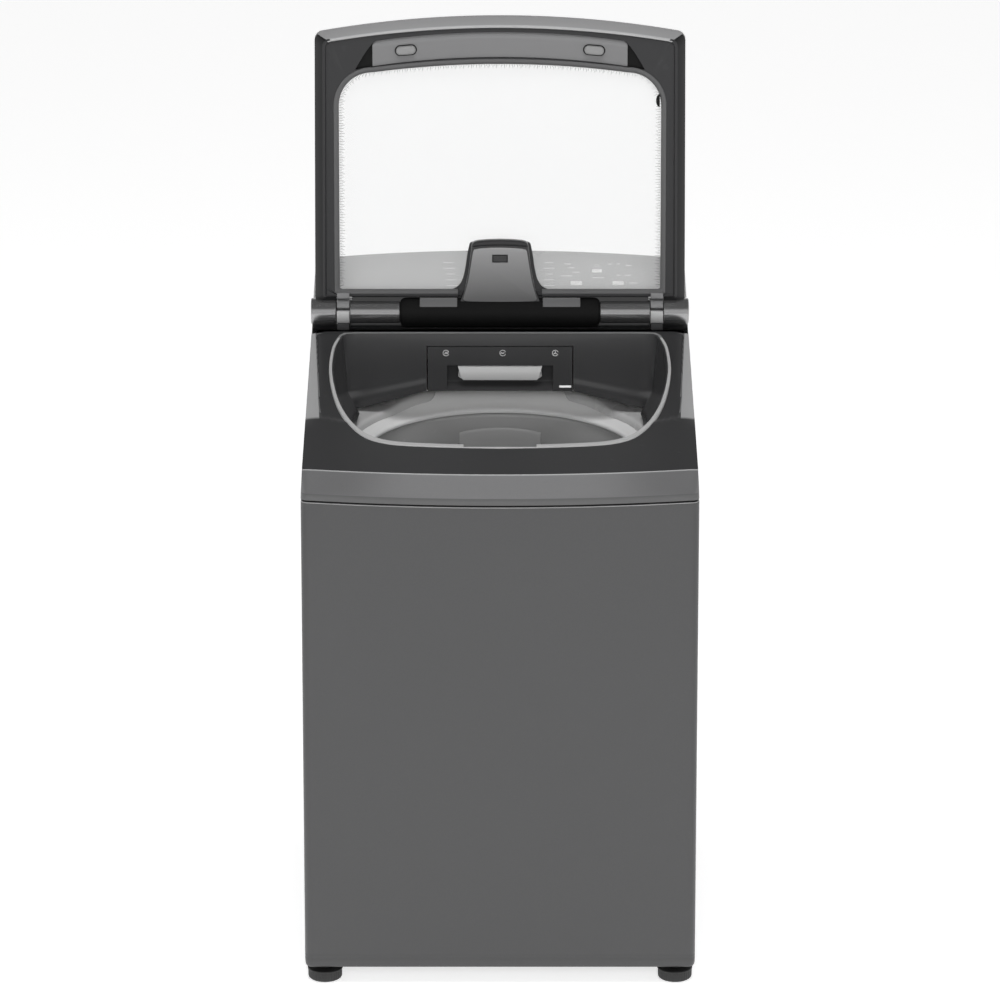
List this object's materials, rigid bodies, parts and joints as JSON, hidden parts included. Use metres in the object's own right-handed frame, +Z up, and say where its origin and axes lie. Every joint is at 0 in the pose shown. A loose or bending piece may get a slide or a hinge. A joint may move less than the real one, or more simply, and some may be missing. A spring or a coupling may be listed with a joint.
{
  "type": "top load washing machine",
  "caption": "Top-loading washing machine with a hinged glass lid, sloping rear control panel, dispenser drawer, hanging tub with spinning basket and agitator, and levelling feet.",
  "frame": {"origin": "on the floor under the middle of the cabinet", "axes": "+Z up, -Y towards the user at the front, +X to the user's right"},
  "size_m": [0.63, 0.68, 1.4711],
  "materials": {
    "panel_paint": "satin metallic graphite paint",
    "console_plastic": "fine satin graphite plastic",
    "gloss_black": "polished black",
    "base_plastic": "matte",
    "foot_rubber": "matte",
    "hose_rubber": "matte",
    "light_plastic": "satin light grey",
    "grey_plastic": "satin mid grey",
    "basket_plastic": "satin grey",
    "lid_glass": "clear, printed border",
    "steel": "zinc plated",
    "cast_alloy": "as cast",
    "white_plastic": "satin white",
    "natural_plastic": "natural moulding"
  },
  "bodies": {
    "root": {"cabinet_shell": "panel_paint", "rear_panel": "panel_paint", "base_frame": "base_plastic", "top_console": "console_plastic", "opening_rim": "light_plastic", "opening_collar": "gloss_black", "rear_console": "console_plastic", "control_fascia": "grey_plastic", "hinge_bracket_left": "grey_plastic", "hinge_bracket_right": "grey_plastic", "hinge_pin_left": "steel", "hinge_pin_right": "steel", "dispenser_housing": "natural_plastic", "inlet_valve": "white_plastic", "inlet_hose": "hose_rubber", "cord_gland": "hose_rubber", "drain_outlet": "natural_plastic", "drain_pump": "natural_plastic", "drain_hose": "hose_rubber", "sump_bellows": "hose_rubber", "suspension_rail_left": "steel", "suspension_rail_right": "steel", "suspension_rod_front_left": "steel", "suspension_rod_front_right": "steel", "suspension_rod_rear_left": "steel", "suspension_rod_rear_right": "steel", "suspension_spring_front_left": "steel", "suspension_spring_front_right": "steel", "suspension_spring_rear_left": "steel", "suspension_spring_rear_right": "steel"},
    "lid": {"lid_frame": "gloss_black", "lid_glass": "lid_glass", "lid_gasket": "grey_plastic", "lid_handle_plate": "grey_plastic", "lid_rear_bar": "gloss_black", "lid_bumper_left": "foot_rubber", "lid_bumper_right": "foot_rubber"},
    "drawer": {"drawer_front": "gloss_black", "drawer_grip": "grey_plastic", "dispenser_drawer": "natural_plastic"},
    "tub": {"outer_tub": "natural_plastic", "tub_cover": "light_plastic", "support_plate": "steel", "gearcase": "cast_alloy", "motor": "cast_alloy", "drive_belt": "hose_rubber"},
    "basket": {"basket": "basket_plastic", "balance_ring": "light_plastic", "lint_filter": "basket_plastic"},
    "agitator": {"agitator": "basket_plastic", "drive_shaft": "steel"},
    "drive_pulley": {"drive_pulley": "cast_alloy"},
    "motor_pulley": {"motor_pulley": "steel"},
    "power_button": {"power_button": "white_plastic"},
    "start_button": {"start_button": "white_plastic"},
    "program_button": {"program_button": "white_plastic"},
    "foot_front_left": {"foot_front_left": "foot_rubber"},
    "foot_front_right": {"foot_front_right": "foot_rubber"},
    "foot_rear_left": {"foot_rear_left": "foot_rubber"},
    "foot_rear_right": {"foot_rear_right": "foot_rubber"}
  },
  "joints": [
    {"name": "lid_hinge", "type": "hinge", "parent": "root", "child": "lid", "pos_m": [0, 0.166, 0.982], "axis": [1, 0, 0], "range_deg": [0, 106.3]},
    {"name": "drawer_slide", "type": "slide", "parent": "root", "child": "drawer", "axis": [0, -1, 0], "range_m": [0, 0.11]},
    {"name": "tub_suspension", "type": "slide", "parent": "root", "child": "tub", "axis": [0, 0, 1], "range_m": [-0.012, 0.006], "stiffness_N_per_m": 12000, "springref_m": 0.02146, "deforming": ["suspension_spring_front_left", "suspension_spring_front_right", "suspension_spring_rear_left", "suspension_spring_rear_right", "sump_bellows"]},
    {"name": "basket_spin", "type": "hinge", "parent": "tub", "child": "basket", "pos_m": [0, -0.02, 0.21], "axis": [0, 0, 1], "continuous": true},
    {"name": "agitator_spin", "type": "hinge", "parent": "tub", "child": "agitator", "pos_m": [0, -0.02, 0.3], "axis": [0, 0, 1], "continuous": true},
    {"name": "drive_pulley_spin", "type": "hinge", "parent": "tub", "child": "drive_pulley", "pos_m": [0, -0.02, 0.083], "axis": [0, 0, 1], "continuous": true},
    {"name": "motor_pulley_spin", "type": "hinge", "parent": "tub", "child": "motor_pulley", "pos_m": [0.1, 0.08, 0.083], "axis": [0, 0, 1], "continuous": true},
    {"name": "power_button_press", "type": "slide", "parent": "root", "child": "power_button", "axis": [0, 0.3291, -0.9443], "range_m": [0, 0.0014], "stiffness_N_per_m": 400},
    {"name": "start_button_press", "type": "slide", "parent": "root", "child": "start_button", "axis": [0, 0.3291, -0.9443], "range_m": [0, 0.0014], "stiffness_N_per_m": 400},
    {"name": "program_button_press", "type": "slide", "parent": "root", "child": "program_button", "axis": [0, 0.3291, -0.9443], "range_m": [0, 0.0014], "stiffness_N_per_m": 400},
    {"name": "foot_front_left_screw", "type": "slide", "parent": "root", "child": "foot_front_left", "axis": [0, 0, -1], "range_m": [0, 0.012]},
    {"name": "foot_front_right_screw", "type": "slide", "parent": "root", "child": "foot_front_right", "axis": [0, 0, -1], "range_m": [0, 0.012]},
    {"name": "foot_rear_left_screw", "type": "slide", "parent": "root", "child": "foot_rear_left", "axis": [0, 0, -1], "range_m": [0, 0.012]},
    {"name": "foot_rear_right_screw", "type": "slide", "parent": "root", "child": "foot_rear_right", "axis": [0, 0, -1], "range_m": [0, 0.012]}
  ],
  "couplings": [
    {"joint": "agitator_spin", "follows": "drive_pulley_spin", "ratio": 0.25},
    {"joint": "motor_pulley_spin", "follows": "drive_pulley_spin", "ratio": 4}
  ]
}
